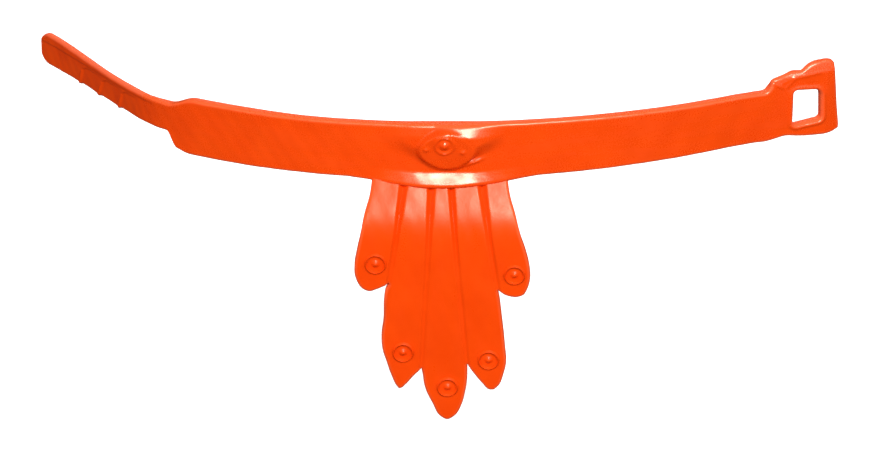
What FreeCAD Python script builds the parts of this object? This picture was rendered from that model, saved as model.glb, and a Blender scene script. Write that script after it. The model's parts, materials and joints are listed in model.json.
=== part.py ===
import FreeCAD, Part
import math
import os
import re
import Sketcher

# Action-figure belt: one soft vinyl strap with a strip skirt, a windowed buckle
# at its right end and a ridged tongue at its left end.
# Frame: +Z up, +X towards the buckle, fronts face -Y. The origin is on the centre
# plate's flat back face, half way up the strap. The strap is bent back about
# upright flex lines, and the skirt about level ones. Lengths are in millimetres.

DIMENSIONS = {
    # strap
    "strap_thick": 1.45,
    "strap_top": 3.95,
    "strap_bottom": 4.05,
    "right_end_bottom": 3.4,
    "centre_right": 7.6,
    "centre_left": 7.2,
    "right_pitch": 9.0,
    "right_first": 8.9,
    "left_first": 9.3,
    "left_second": 9.5,
    "left_third": 12.6,
    # flex lines: a round edge turns in a slightly larger hollow edge
    "flex_gap": 0.05,
    "lip_angle": 55,
    "lip_setback": 0.7,
    # shoulder where the strap narrows to the tongue
    "shoulder_start": 10.1,
    "shoulder_round": 1.2,
    "shoulder_top_start": 8.3,
    "shoulder_top_end": 10.9,
    # tongue
    "tongue_top": 3.0,
    "tongue_bottom": 1.35,
    "tongue_first": 8.1,
    "tongue_second": 13.9,
    "tongue_last": 8.5,
    "tongue_corner": 1.9,
    "ridge_first": 2.3,
    "ridge_pitch": 4.45,
    "ridge_width": 0.55,
    "ridge_height": 0.4,
    "ridge_foot": 0.35,
    # buckle
    "buckle_length": 11.0,
    "buckle_foot": 12.0,
    "buckle_bottom": 3.35,
    "buckle_top": 5.5,
    "buckle_neck": 2.0,
    "neck_top": 4.05,
    "window_near": 5.45,
    "window_far": 9.25,
    "window_low": 1.55,
    "window_high": 3.45,
    "window_far_low": 1.1,
    "window_far_high": 3.15,
    "ear_thick": 0.95,
    "ear_foot": 0.5,
    "ear_step": 2.6,
    "ear_step_top": 5.25,
    "ear_peak": 8.3,
    "ear_top": 7.35,
    "ear_end": 10.3,
    "ear_end_top": 6.7,
    # centre plate ornaments
    "medal_width": 4.3,
    "medal_height": 3.05,
    "medal_depth": 1.0,
    "medal_face": 0.75,
    "medal_z": 0.3,
    "medal_stud_z": 1.3,
    "lip_half": 6.2,
    "lip_top": 2.8,
    "lip_out": 1.25,
    "lip_edge": 3.95,
    "lip_low": 4.55,
    "lip_radius": 28.0,
    # studs
    "stud_radius": 1.45,
    "stud_rim": 0.3,
    "stud_floor": 0.1,
    "stud_rim_width": 0.35,
    "stud_dome_radius": 0.8,
    "stud_dome": 0.5,
    # skirt: the root leans out from the strap, then the strips hang straight
    "skirt_span": 30,
    "strip_thick": 1.3,
    "web_thick": 0.6,
    "root_y": 1.5,
    "root_z": 5.25,
    "root_lean": 35,
    "root_length": 5.6,
    "fold_z": 18.6,
    "tip_fold_z": 30.4,
    "web_above_fold": 0.75,
    "web_below_fold": 0.2,
    "web_end": 29.4,
    "fold_bead": 0.32,
    "fold_end": 15.9,
    "side_gap": 0.1,
    "point_knee": 0.55,
    "point_knee_width": 0.72,
    "point_half": 0.35,
}

# Each strip in front view: middle and half width at the root level, middle and
# half width at its widest level, that level, and the place of its tip.
STRIPS = {
    "left_outer": (-7.75, 1.75, -9.55, 2.2, -15.3, -9.8, -18.8),
    "left_inner": (-3.55, 1.45, -5.6, 2.65, -25.8, -5.8, -33.6),
    "centre": (-0.2, 0.95, 0.2, 2.95, -31.1, 0.55, -38.3),
    "right_inner": (3.1, 1.6, 5.85, 2.6, -28.3, 6.45, -33.7),
    "right_outer": (7.1, 1.35, 9.35, 2.15, -16.2, 9.7, -19.65),
}
STRIP_SIZES = ("root_mid", "root_half", "wide_mid", "wide_half", "wide_z", "tip_x", "tip_z")

# Where the stud of each strip sits: strip, x and z of its middle.
STUDS = (
    ("left_outer", -9.0, -14.4),
    ("left_inner", -5.35, -27.8),
    ("centre", 0.65, -32.85),
    ("right_inner", 6.0, -28.85),
    ("right_outer", 9.4, -16.05),
)

# Bend angle of every strap piece, measured in plan from the +X or -X direction.
RIGHT_ANGLES = (8.0, 13.0, 19.5, 25.0, 16.0)
LEFT_ANGLES = (8.0, 15.5, 23.8, 48.0, 54.0, 51.0)

HALF = "strap_thick/2"
SOCKET = "(strap_thick/2+flex_gap)"
MARGIN = 3

doc = FreeCAD.newDocument("belt")
dims = doc.addObject("Spreadsheet::Sheet", "dims")
for strip, sizes in STRIPS.items():
    for word, size in zip(STRIP_SIZES, sizes):
        DIMENSIONS[strip + "_" + word] = size
for row, (alias, size) in enumerate(DIMENSIONS.items(), start=1):
    dims.set("A%d" % row, alias)
    dims.set("B%d" % row, str(size))
    dims.setAlias("B%d" % row, alias)
doc.recompute()

finished = []


def formula(text):
    """Point every dimension named in the text at its cell."""
    found = lambda word: "dims." + word.group() if word.group() in DIMENSIONS else word.group()
    return re.sub(r"[a-z][a-z_]*", found, str(text))


def value(text):
    """The number a formula gives now."""
    result = dims.evalExpression(formula(text))
    return float(getattr(result, "Value", result))


def bind(thing, prop, text):
    """Tie a property to the sheet."""
    thing.setExpression(prop, formula(text))


def done(thing, label, x=0.0, y=0.0, turn=0.0):
    """Name a finished piece and put it in place, turned about the upright axis."""
    thing.Label = label
    upright = FreeCAD.Rotation(FreeCAD.Vector(0, 0, 1), turn)
    thing.Placement = FreeCAD.Placement(FreeCAD.Vector(x, y, 0), upright)
    finished.append(thing)


def new_body(name):
    return doc.addObject("PartDesign::Body", name + "_body")


def new_sketch(body, role, level="0"):
    """A sketch on one of the body's own planes, moved off it by level."""
    sketch = body.newObject("Sketcher::SketchObject", body.Name + "_sketch")
    plane = [item for item in body.Origin.OriginFeatures if item.Role == role][0]
    sketch.AttachmentSupport = (plane, [""])
    sketch.MapMode = "FlatFace"
    bind(sketch, ".AttachmentOffset.Base.z", level)
    return sketch


def pin_point(sketch, edge, end, x, y):
    """Hold one point of an edge at formulas x and y (either may be None)."""
    for kind, text in (("DistanceX", x), ("DistanceY", y)):
        if text is None:
            continue
        made = sketch.addConstraint(Sketcher.Constraint(kind, -1, 1, edge, end, value(text)))
        bind(sketch, "Constraints[%d]" % made, text)


def outline(sketch, steps):
    """Draw a closed outline. A step is the corner reached by a line, (x, y), or by
    an arc about a centre, (x, y, centre x, centre y, +1 or -1 for its turn)."""
    corners = [FreeCAD.Vector(value(step[0]), value(step[1]), 0) for step in steps]
    edges = []
    for number, step in enumerate(steps):
        before, here = corners[number - 1], corners[number]
        if len(step) == 2:
            edge = sketch.addGeometry(Part.LineSegment(before, here))
            edges.append((edge, 1, 2))
            continue
        middle = FreeCAD.Vector(value(step[2]), value(step[3]), 0)
        ccw = step[4] > 0
        first, last = (before, here) if ccw else (here, before)
        low = math.atan2(first.y - middle.y, first.x - middle.x)
        high = math.atan2(last.y - middle.y, last.x - middle.x)
        high += 2 * math.pi if high <= low else 0
        circle = Part.Circle(middle, FreeCAD.Vector(0, 0, 1), (here - middle).Length)
        edge = sketch.addGeometry(Part.ArcOfCircle(circle, low, high))
        edges.append((edge, 1, 2) if ccw else (edge, 2, 1))
        across = abs(here.y - before.y) > abs(here.x - before.x)
        pin_point(sketch, edge, 3, step[2] if across else None, None if across else step[3])
    for number, step in enumerate(steps):
        edge, start, end = edges[number]
        follower, follower_start = edges[(number + 1) % len(edges)][:2]
        sketch.addConstraint(Sketcher.Constraint("Coincident", edge, end, follower, follower_start))
        pin_point(sketch, edge, end, step[0], step[1])


def pad(body, sketch, length, both_ways=False):
    feature = body.newObject("PartDesign::Pad", body.Name + "_pad")
    feature.Profile = sketch
    feature.SideType = "Symmetric" if both_ways else "One side"
    bind(feature, "Length", length)
    doc.recompute()
    return feature


def trim(body, outlines):
    """Cut away all that lies outside the first front-view outline and inside the others."""
    full = body.Shape.Volume
    box = body.Shape.BoundBox
    sketch = new_sketch(body, "XZ_Plane")
    sides = (box.XMin - MARGIN, box.XMax + MARGIN)
    outline(sketch, [(sides[0], box.ZMin - MARGIN), (sides[1], box.ZMin - MARGIN),
                     (sides[1], box.ZMax + MARGIN), (sides[0], box.ZMax + MARGIN)])
    for steps in outlines:
        outline(sketch, steps)
    pocket = body.newObject("PartDesign::Pocket", body.Name + "_trim")
    pocket.Profile = sketch
    pocket.Type = "ThroughAll"
    pocket.SideType = "Symmetric"
    doc.recompute()
    if not body.Shape.Volume < full:
        raise RuntimeError(body.Name + ": the trim cut nothing")


def hollow_end(along, sign="-"):
    """The three steps of a hollow edge that faces away from the piece, at along."""
    reach = "%s%s%s*cos(lip_angle)" % (along, sign, SOCKET)
    depth = "%s*sin(lip_angle)" % SOCKET
    back = "%s%slip_setback" % (along, sign)
    if sign == "-":
        return [(back, "-" + HALF), (reach, "-" + depth), (reach, depth, along, "0", -1), (back, HALF)]
    return [(back, HALF), (reach, depth), (reach, "-" + depth, along, "0", -1), (back, "-" + HALF)]


def strap_piece(name, length, low="strap_bottom", high="strap_top", last=False):
    """A strap piece from its round inner edge at the local origin to its outer edge."""
    body = new_body(name)
    sketch = new_sketch(body, "XY_Plane", "-(%s)" % low)
    outer = [(length, "-" + HALF), (length, HALF)] if last else hollow_end(length)
    outline(sketch, [("0", "-" + HALF, "0", "0", 1)] + outer + [("0", HALF)])
    pad(body, sketch, "%s+%s" % (low, high))
    return body


def make_centre():
    body = new_body("centre_plate")
    sketch = new_sketch(body, "XY_Plane", "-strap_bottom")
    outline(sketch, hollow_end("centre_right") + hollow_end("-centre_left", "+"))
    pad(body, sketch, "strap_bottom+strap_top")
    done(body, "centre_plate", y=-value(HALF))


def make_lip():
    """The flared lower edge that covers the top of the skirt."""
    body = new_body("flared_lip")
    sketch = new_sketch(body, "YZ_Plane")
    front = "-(strap_thick+lip_out)"
    outline(sketch, [("-strap_thick", "-lip_top"), (front, "-lip_edge"),
                     ("-(strap_thick+lip_out/2)", "-lip_low"), ("-strap_thick", "-lip_low")])
    pad(body, sketch, "2*lip_half", both_ways=True)
    centre = "lip_radius-lip_low"
    end = "(%s-sqrt(lip_radius^2-lip_half^2))" % centre
    trim(body, [[("-lip_half", "0"), ("-lip_half", end), ("lip_half", end, "0", centre, 1),
                 ("lip_half", "0")]])
    done(body, "flared_lip")


def make_medallion():
    """A shallow oval boss with a flattened face."""
    dome = doc.addObject("Part::Ellipsoid", "medallion_dome")
    bind(dome, "Radius1", "medal_height")
    bind(dome, "Radius2", "medal_width")
    bind(dome, "Radius3", "medal_depth")
    bind(dome, "Placement.Base.y", "-strap_thick")
    bind(dome, "Placement.Base.z", "medal_z")
    block = doc.addObject("Part::Box", "medallion_block")
    bind(block, "Length", "2*medal_width")
    bind(block, "Width", "medal_face")
    bind(block, "Height", "medal_z+medal_height+lip_top")
    bind(block, "Placement.Base.x", "-medal_width")
    bind(block, "Placement.Base.y", "-(strap_thick+medal_face)")
    bind(block, "Placement.Base.z", "-lip_top")
    boss = doc.addObject("Part::Common", "medallion_boss")
    boss.Base = dome
    boss.Tool = block
    done(boss, "medallion")


def make_stud(label, x, y, z, turn=0.0):
    """A round stud: a raised rim, a floor and a dome, turned about its own axis."""
    body = new_body(label)
    sketch = new_sketch(body, "XY_Plane")
    inner = "stud_radius-stud_rim_width"
    outline(sketch, [("0", "0"), ("stud_radius", "0"), ("stud_radius", "-stud_rim"),
                     (inner, "-stud_rim"), (inner, "-stud_floor"),
                     ("stud_dome_radius", "-stud_floor"), ("stud_dome_radius/2", "-stud_dome"),
                     ("0", "-stud_dome")])
    turned = body.newObject("PartDesign::Revolution", label + "_turned")
    turned.Profile = sketch
    turned.ReferenceAxis = (sketch, ["V_Axis"])
    turned.Angle = 360
    doc.recompute()
    done(body, label, x, y, turn)
    body.Placement.Base.z = z


def make_right_strap():
    """Four strap pieces, whose lower edge rises towards the buckle, and the buckle."""
    x, y = value("centre_right"), -value(HALF)
    span = "(right_first+3*right_pitch)"
    rise = "(strap_bottom-right_end_bottom)"
    gone = "0"
    for number, angle in enumerate(RIGHT_ANGLES[:4], start=1):
        length = "right_first" if number == 1 else "right_pitch"
        label = "right_strap_%d" % number
        body = strap_piece(label, length)
        slope = [("-%d" % MARGIN, "-strap_bottom+%s*(%s-%d)/%s" % (rise, gone, MARGIN, span)),
                 ("%s+%d" % (length, MARGIN),
                  "-strap_bottom+%s*(%s+%s+%d)/%s" % (rise, gone, length, MARGIN, span)),
                 ("%s+%d" % (length, MARGIN), "strap_top+%d" % MARGIN),
                 ("-%d" % MARGIN, "strap_top+%d" % MARGIN)]
        trim(body, [slope])
        done(body, label, x, y, angle)
        gone += "+" + length
        x += value(length) * math.cos(math.radians(angle))
        y += value(length) * math.sin(math.radians(angle))
    make_buckle(x, y, RIGHT_ANGLES[4])


def make_buckle(x, y, angle):
    body = strap_piece("buckle_frame", "buckle_foot", "buckle_bottom", "buckle_top", last=True)
    frame = [("-%d" % MARGIN, "-buckle_bottom-%d" % MARGIN),
             ("buckle_foot", "-buckle_bottom-%d" % MARGIN), ("buckle_foot", "-buckle_bottom"),
             ("buckle_length", "buckle_top"), ("buckle_neck", "neck_top"),
             ("buckle_neck", "strap_top"), ("-%d" % MARGIN, "strap_top")]
    window = [("window_near", "-window_low"), ("window_far", "-window_far_low"),
              ("window_far", "window_far_high"), ("window_near", "window_high")]
    trim(body, [frame, window])
    done(body, "buckle_frame", x, y, angle)
    ear = new_body("buckle_ear")
    sketch = new_sketch(ear, "XZ_Plane", "-" + HALF)
    outline(sketch, [("buckle_neck", "neck_top"), ("buckle_length", "buckle_top"),
                     ("buckle_length", "ear_end_top"), ("ear_end", "ear_top"),
                     ("ear_peak", "ear_top"), ("ear_step", "ear_step_top"),
                     ("buckle_neck", "neck_top+ear_foot")])
    pad(ear, sketch, "ear_thick")
    done(ear, "buckle_ear", x, y, angle)


def make_left_strap():
    """Three strap pieces, the last with a shoulder, and the three tongue pieces."""
    x, y = -value("centre_left"), -value(HALF)
    lengths = ("left_first", "left_second", "left_third",
               "tongue_first", "tongue_second", "tongue_last")
    labels = ("left_strap_1", "left_strap_2", "left_strap_shoulder",
              "tongue_root", "tongue_middle", "tongue_tip")
    for number, (label, length, angle) in enumerate(zip(labels, lengths, LEFT_ANGLES)):
        tongue = number > 2
        low, high = ("tongue_bottom", "tongue_top") if tongue else ("strap_bottom", "strap_top")
        body = strap_piece(label, length, low, high, last=label == "tongue_tip")
        if label == "left_strap_shoulder":
            trim(body, [shoulder_outline()])
        if label == "tongue_tip":
            trim(body, [tip_outline()])
        done(body, label, x, y, 180 - angle)
        if label == "tongue_middle":
            make_ridges(x, y, 180 - angle)
        x -= value(length) * math.cos(math.radians(angle))
        y += value(length) * math.sin(math.radians(angle))


def shoulder_outline():
    level = "-strap_bottom+shoulder_round"
    corner = "shoulder_start+shoulder_round"
    return [("-%d" % MARGIN, "-strap_bottom"), ("shoulder_start", "-strap_bottom"),
            (corner, level, "shoulder_start", level, 1), (corner, "-tongue_bottom"),
            ("left_third", "-tongue_bottom"), ("left_third", "tongue_top"),
            ("shoulder_top_end", "tongue_top"), ("shoulder_top_start", "strap_top"),
            ("-%d" % MARGIN, "strap_top")]


def tip_outline():
    inner = "tongue_last-tongue_corner"
    low, high = "-tongue_bottom+tongue_corner", "tongue_top-tongue_corner"
    return [("-%d" % MARGIN, "-tongue_bottom"), (inner, "-tongue_bottom"),
            ("tongue_last", low, inner, low, 1), ("tongue_last", high),
            (inner, "tongue_top", inner, high, 1), ("-%d" % MARGIN, "tongue_top")]


def make_ridges(x, y, turn):
    """Three upright ridges on the front of the tongue, each with a foot below it."""
    ridges = []
    for number in range(3):
        ridge = doc.addObject("Part::Box", "ridge_%d" % number)
        bind(ridge, "Length", "ridge_width")
        bind(ridge, "Width", "ridge_height")
        bind(ridge, "Height", "tongue_top+tongue_bottom+ridge_foot")
        bind(ridge, "Placement.Base.x", "ridge_first+%d*ridge_pitch" % number)
        bind(ridge, "Placement.Base.y", HALF)
        bind(ridge, "Placement.Base.z", "-tongue_bottom-ridge_foot")
        ridges.append(ridge)
    group = doc.addObject("Part::Compound", "ridges")
    group.Links = ridges
    done(group, "tongue_ridges", x, y, turn)


BEND_Y = "(root_y+root_length*sin(root_lean))"
BEND_Z = "(root_z+root_length*cos(root_lean))"


def strip_edge(strip, side, level):
    """x of a strip's left (-) or right (+) edge at a level, on its straight stretch."""
    top = "(%s_root_mid%s%s_root_half)" % (strip, side, strip)
    wide = "(%s_wide_mid%s%s_wide_half)" % (strip, side, strip)
    share = "((%s)+root_z)/(%s_wide_z+root_z)" % (level, strip)
    return "%s+(%s-%s)*%s" % (top, wide, top, share)


def strip_outline(strip, top, bottom=None):
    """Front view of a strip between two levels, or down to its point."""
    steps = [(strip_edge(strip, "+", top), top), (strip_edge(strip, "-", top), top)]
    if bottom is not None:
        return steps + [(strip_edge(strip, "-", bottom), bottom),
                        (strip_edge(strip, "+", bottom), bottom)]
    wide_z, tip_x, tip_z = strip + "_wide_z", strip + "_tip_x", strip + "_tip_z"
    knee_z = "%s+(%s-%s)*point_knee" % (wide_z, tip_z, wide_z)
    for side in "-+":
        wide = "%s_wide_mid%s%s_wide_half" % (strip, side, strip)
        knee = "%s+(%s-%s)*point_knee_width" % (tip_x, wide, tip_x)
        half = [(wide, wide_z), (knee, knee_z), ("%s%spoint_half" % (tip_x, side), tip_z)]
        steps += half if side == "-" else half[::-1]
    return steps


def web_outline(left, right, top, bottom):
    """Front view of the thin web between two neighbouring strips."""
    return [(strip_edge(right, "-", top), top), (strip_edge(left, "+", top), top),
            (strip_edge(left, "+", bottom), bottom), (strip_edge(right, "-", bottom), bottom)]


def slab_profile(half, top, bottom, round_top, hollow_bottom):
    """Side view of a hanging slab between two levels."""
    front, back = "-%s-%s" % (BEND_Y, half), "-%s+%s" % (BEND_Y, half)
    steps = [(back, top), (front, top), (front, bottom), (back, bottom)]
    if round_top:
        steps[1] = (front, top, "-" + BEND_Y, top, 1)
    if hollow_bottom:
        wall = "(%s+flex_gap)" % half
        depth, reach = wall + "*sin(lip_angle)", wall + "*cos(lip_angle)"
        lip, hollow = "%s+lip_setback" % bottom, "%s+%s" % (bottom, reach)
        steps[2:] = [(front, lip), ("-%s-%s" % (BEND_Y, depth), hollow),
                     ("-%s+%s" % (BEND_Y, depth), hollow, "-" + BEND_Y, bottom, -1),
                     (back, lip)]
    return steps


def make_slab(label, half, front_outline, top, bottom, round_top=False, hollow_bottom=False):
    """A strip or web: its side view drawn across the skirt, then trimmed in front view."""
    body = new_body(label)
    sketch = new_sketch(body, "YZ_Plane")
    outline(sketch, slab_profile(half, top, bottom, round_top, hollow_bottom))
    pad(body, sketch, "skirt_span", both_ways=True)
    trim(body, [front_outline])
    done(body, label)


def make_root():
    """The skirt's top: a round edge under the strap and a slab that leans outwards."""
    body = new_body("skirt_root")
    sketch = new_sketch(body, "YZ_Plane")
    half = "strip_thick/2"
    bend_z = "-" + BEND_Z
    outline(sketch, [
        ("-root_y+%s*cos(root_lean)" % half, "-root_z-%s*sin(root_lean)" % half),
        ("-root_y-%s*cos(root_lean)" % half, "-root_z+%s*sin(root_lean)" % half,
         "-root_y", "-root_z", 1),
        ("-%s-%s" % (BEND_Y, half), bend_z), ("-%s+%s" % (BEND_Y, half), bend_z)])
    pad(body, sketch, "skirt_span", both_ways=True)
    top = "-root_z+strip_thick"
    trim(body, [[(strip_edge("right_outer", "+", top), top),
                 (strip_edge("left_outer", "-", top), top),
                 (strip_edge("left_outer", "-", bend_z), bend_z),
                 (strip_edge("right_outer", "+", bend_z), bend_z)]])
    done(body, "skirt_root")


def make_fold(strip, inner, label):
    """The slim bead along an outer strip's inner edge, about which the strip folds."""
    ends = []
    for level in ("-%s-side_gap" % BEND_Z, "-fold_end"):
        x = "%s%sfold_bead" % (strip_edge(strip, inner, level), inner)
        ends.append(FreeCAD.Vector(value(x), -value(BEND_Y), value(level)))
    along = ends[0] - ends[1]
    bead = doc.addObject("Part::Cylinder", label)
    bind(bead, "Radius", "fold_bead")
    bead.Height = along.Length
    finished.append(bead)
    bead.Label = label
    bead.Placement = FreeCAD.Placement(ends[1], FreeCAD.Rotation(FreeCAD.Vector(0, 0, 1), along))


def make_skirt():
    half, web = "strip_thick/2", "web_thick/2"
    bend, fold, tip_fold = "-" + BEND_Z, "-fold_z", "-tip_fold_z"
    above_fold, above_tip = "%s+%s" % (fold, half), "%s+%s" % (tip_fold, half)
    make_root()
    for strip in ("left_inner", "centre", "right_inner"):
        make_slab(strip + "_strip_upper", half, strip_outline(strip, bend, fold), bend, fold,
                  hollow_bottom=True)
    for strip in ("left_inner", "right_inner"):
        make_slab(strip + "_strip_lower", half, strip_outline(strip, above_fold), fold,
                  strip + "_tip_z", round_top=True)
    make_slab("centre_strip_lower", half, strip_outline("centre", above_fold, tip_fold), fold,
              tip_fold, round_top=True, hollow_bottom=True)
    make_slab("centre_strip_tip", half, strip_outline("centre", above_tip), tip_fold,
              "centre_tip_z", round_top=True)
    for left, right, label in (("left_inner", "centre", "left_web"),
                               ("centre", "right_inner", "right_web")):
        end, start = fold + "+web_above_fold", fold + "+web_below_fold"
        make_slab(label + "_upper", web, web_outline(left, right, bend, end), bend, end)
        make_slab(label + "_lower", web, web_outline(left, right, start, "-web_end"), start,
                  "-web_end")
    for side, inner in (("left", "+"), ("right", "-")):
        strip, top = side + "_outer", "%s-side_gap" % bend
        make_slab(strip + "_strip", half, strip_outline(strip, top), top, strip + "_tip_z")
        make_fold(strip, inner, side + "_fold_bead")


def make_strip_studs():
    front = -value("%s+strip_thick/2" % BEND_Y)
    for strip, x, z in STUDS:
        make_stud(strip + "_stud", x, front, z)


def check_and_export():
    doc.recompute()
    for thing in doc.Objects:
        if "Invalid" in thing.State or "Error" in thing.State:
            raise RuntimeError("%s failed: %s" % (thing.Label, thing.State))
    os.makedirs("parts", exist_ok=True)
    for piece in finished:
        shape = piece.Shape
        if shape.isNull() or not shape.isValid() or shape.Volume <= 0:
            raise RuntimeError(piece.Label + " has no valid solid")
        shape.exportStep("parts/%s.step" % piece.Label)


make_centre()
make_lip()
make_medallion()
make_stud("medallion_stud", 0, -value("strap_thick+medal_face"), value("medal_stud_z"))
make_right_strap()
make_left_strap()
make_skirt()
make_strip_studs()
check_and_export()
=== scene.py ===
import json
import math

import bmesh
import bpy
import numpy as np
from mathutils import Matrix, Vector
from mathutils.geometry import delaunay_2d_cdt


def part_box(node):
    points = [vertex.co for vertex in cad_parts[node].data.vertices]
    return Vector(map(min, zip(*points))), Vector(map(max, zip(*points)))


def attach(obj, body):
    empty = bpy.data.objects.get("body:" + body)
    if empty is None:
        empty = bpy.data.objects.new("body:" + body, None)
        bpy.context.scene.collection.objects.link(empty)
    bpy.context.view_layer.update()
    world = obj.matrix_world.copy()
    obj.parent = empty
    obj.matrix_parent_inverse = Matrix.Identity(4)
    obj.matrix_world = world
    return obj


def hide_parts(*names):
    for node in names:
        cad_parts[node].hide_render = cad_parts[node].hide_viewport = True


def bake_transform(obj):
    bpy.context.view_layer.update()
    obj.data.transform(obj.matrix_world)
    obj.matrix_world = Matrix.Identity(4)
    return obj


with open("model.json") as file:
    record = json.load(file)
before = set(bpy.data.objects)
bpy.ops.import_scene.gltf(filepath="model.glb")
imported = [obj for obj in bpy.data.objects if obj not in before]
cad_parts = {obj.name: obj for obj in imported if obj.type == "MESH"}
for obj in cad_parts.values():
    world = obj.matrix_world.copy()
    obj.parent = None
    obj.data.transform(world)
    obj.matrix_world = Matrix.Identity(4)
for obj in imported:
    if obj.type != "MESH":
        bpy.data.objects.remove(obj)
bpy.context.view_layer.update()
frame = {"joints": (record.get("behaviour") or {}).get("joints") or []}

# The belt is one soft vinyl moulding. Every visible skin is built here in millimetres
# from the places of the CAD nodes and joints, and cut into pieces between the joints.
# Only the middle one is attached to a body; the others are not bent here.
MM = 0.001
ROUND = 0.38          # radius of the moulding's soft edges
ROWS = 46             # levels up the strap, between its rounded edges
EDGE_STEPS = 6        # levels round a soft edge
WALL_STEPS = 3        # points across the thickness of an edge
TIP_STEPS = 16        # columns round the corner of the tongue's tip
COLUMN = 0.17         # length of a face along the strap
FINE = 0.2            # size of a face on the skirt and buckle

JOINTS = {joint["name"]: joint for joint in frame["joints"]}


# ---------------------------------------------------------------- the frame in millimetres

def box_mm(node):
    """Lower and upper corner of a node's box."""
    low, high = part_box(node)
    return np.array(low) / MM, np.array(high) / MM


def joint_mm(name):
    """Place of a joint."""
    return np.array(JOINTS[name]["pos_m"]) / MM


def smooth(low, high, x):
    """0 below low, 1 above high, an S-curve between."""
    share = np.clip((np.asarray(x, float) - low) / (high - low), 0, 1)
    return share * share * (3 - 2 * share)


def bump(x, width):
    """A rounded hill of height 1 that ends at width."""
    share = np.clip(1 - (np.asarray(x, float) / width) ** 2, 0, 1)
    return share * share


# Half the strap's thickness.
HALF = (box_mm("centre_plate")[1][1] - box_mm("centre_plate")[0][1]) / 2
LEFT_CHAIN = ("curl_left_1", "curl_left_2", "curl_shoulder",
              "bend_tongue_root", "tongue_bend", "bend_tongue_tip")
RIGHT_CHAIN = ("waist_curl", "curl_right_2", "curl_right_3", "curl_right_4", "buckle_flex")


def free_end(node, hinge, way):
    """Middle, in plan, of the free end of the last strap piece on one side."""
    low, high = box_mm(node)
    edge = high[0] if way > 0 else low[0]
    angle = 0.0
    for _ in range(8):
        end = np.array((edge - way * HALF * math.sin(angle), high[1] - HALF * math.cos(angle)))
        angle = math.atan2(end[1] - hinge[1], way * (end[0] - hinge[0]))
    return end


def strap_points():
    """Plan points of the strap's middle line, from the tongue's tip to the buckle's end."""
    left = [joint_mm(name)[:2] for name in LEFT_CHAIN]
    right = [joint_mm(name)[:2] for name in RIGHT_CHAIN]
    tip = free_end("tongue_tip", left[-1], -1)
    end = free_end("buckle_frame", right[-1], 1)
    middle = np.array((0, right[0][1]))
    return np.array([tip] + left[::-1] + [middle] + right + [end])


POINTS = strap_points()
LENGTHS = np.linalg.norm(np.diff(POINTS, axis=0), axis=1)
STATIONS = np.concatenate(([0], np.cumsum(LENGTHS)))
STATIONS -= STATIONS[len(LEFT_CHAIN) + 1]
MIDDLES = (STATIONS[1:] + STATIONS[:-1]) / 2
MIDDLE_POINTS = (POINTS[1:] + POINTS[:-1]) / 2
START, END = STATIONS[0], STATIONS[-1]


def station(joint):
    """Distance of a strap joint along the strap, from the belt's middle."""
    chain = LEFT_CHAIN[::-1] + ("middle",) + RIGHT_CHAIN
    return STATIONS[chain.index(joint) + 1]


def middle_line(s):
    """Plan point and direction of the strap's smooth middle line at s."""
    s = np.asarray(s, float)
    first = (POINTS[1] - POINTS[0]) / LENGTHS[0]
    last = (POINTS[-1] - POINTS[-2]) / LENGTHS[-1]
    point = np.where((s < MIDDLES[0])[..., None], POINTS[0] + (s - START)[..., None] * first,
                     POINTS[-1] + (s - END)[..., None] * last)
    way = np.where((s < MIDDLES[0])[..., None], first, last)
    for number in range(len(MIDDLES) - 1):
        low, high = MIDDLES[number], MIDDLES[number + 1]
        here = ((s >= low) & (s <= high))[..., None]
        share = np.clip((s - low) / (high - low), 0, 1)[..., None]
        a, b, c = MIDDLE_POINTS[number], POINTS[number + 1], MIDDLE_POINTS[number + 1]
        bent = (1 - share) ** 2 * a + 2 * share * (1 - share) * b + share ** 2 * c
        slope = (1 - share) * (b - a) + share * (c - b)
        slope = slope / np.linalg.norm(slope, axis=-1, keepdims=True)
        point = np.where(here, bent, point)
        way = np.where(here, slope, way)
    return point, way


def on_strap(s, z, out):
    """Places of strap points: s along, z up, out from the middle line towards the front."""
    point, way = middle_line(s)
    front = np.stack((way[..., 1], -way[..., 0]), axis=-1)
    flat = point + np.asarray(out, float)[..., None] * front
    return np.concatenate((flat, np.broadcast_to(z, flat.shape[:-1])[..., None]), axis=-1)


# ---------------------------------------------------------------- outline of the strap

STRAP_LOW, STRAP_HIGH = box_mm("left_strap_1")[0][2], box_mm("left_strap_1")[1][2]
RIGHT_LOW = box_mm("buckle_frame")[0][2]
TONGUE_LOW, TONGUE_HIGH = box_mm("tongue_root")[0][2], box_mm("tongue_root")[1][2]
FOOT_LOW = box_mm("tongue_ridges")[0][2]
EAR_HIGH = box_mm("buckle_ear")[1][2]
LIP_LOW = box_mm("flared_lip")[0][2]
SHOULDER = station("bend_tongue_root")
BUCKLE = station("buckle_flex")
TONGUE_BEND = station("tongue_bend")
# The tongue widens to the strap at its shoulder: start and end of each slope of its edges.
SHOULDER_TOP = (SHOULDER + 1, SHOULDER + 4.9)
SHOULDER_STEEP = (SHOULDER + 0.6, SHOULDER + 2.15)
SHOULDER_GENTLE = (SHOULDER + 1.4, SHOULDER + 4.2)
STEEP_SHARE, GENTLE_SHARE = 0.78, 0.22
TONGUE_SINK = 0.25    # the tongue's upper edge starts this far below its CAD box
TONGUE_FLARE = 0.65   # and rises this much towards the tip
TONGUE_THINNER = 0.42
RIDGE_GAP = 4.45
RIDGES = [TONGUE_BEND - 2.3 - RIDGE_GAP * number for number in range(3)]
RIDGE_SLANT = 0.4     # along the tongue, for each millimetre up
TOOTH_RISE, TOOTH_FALL = 0.35, 0.8
TIP_LOW_ROUND, TIP_HIGH_ROUND = 2.0, 2.4
BOW_HALF = 12.5       # the lower edge bows down over this half length
BOW = STRAP_LOW - LIP_LOW + 0.5


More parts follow.
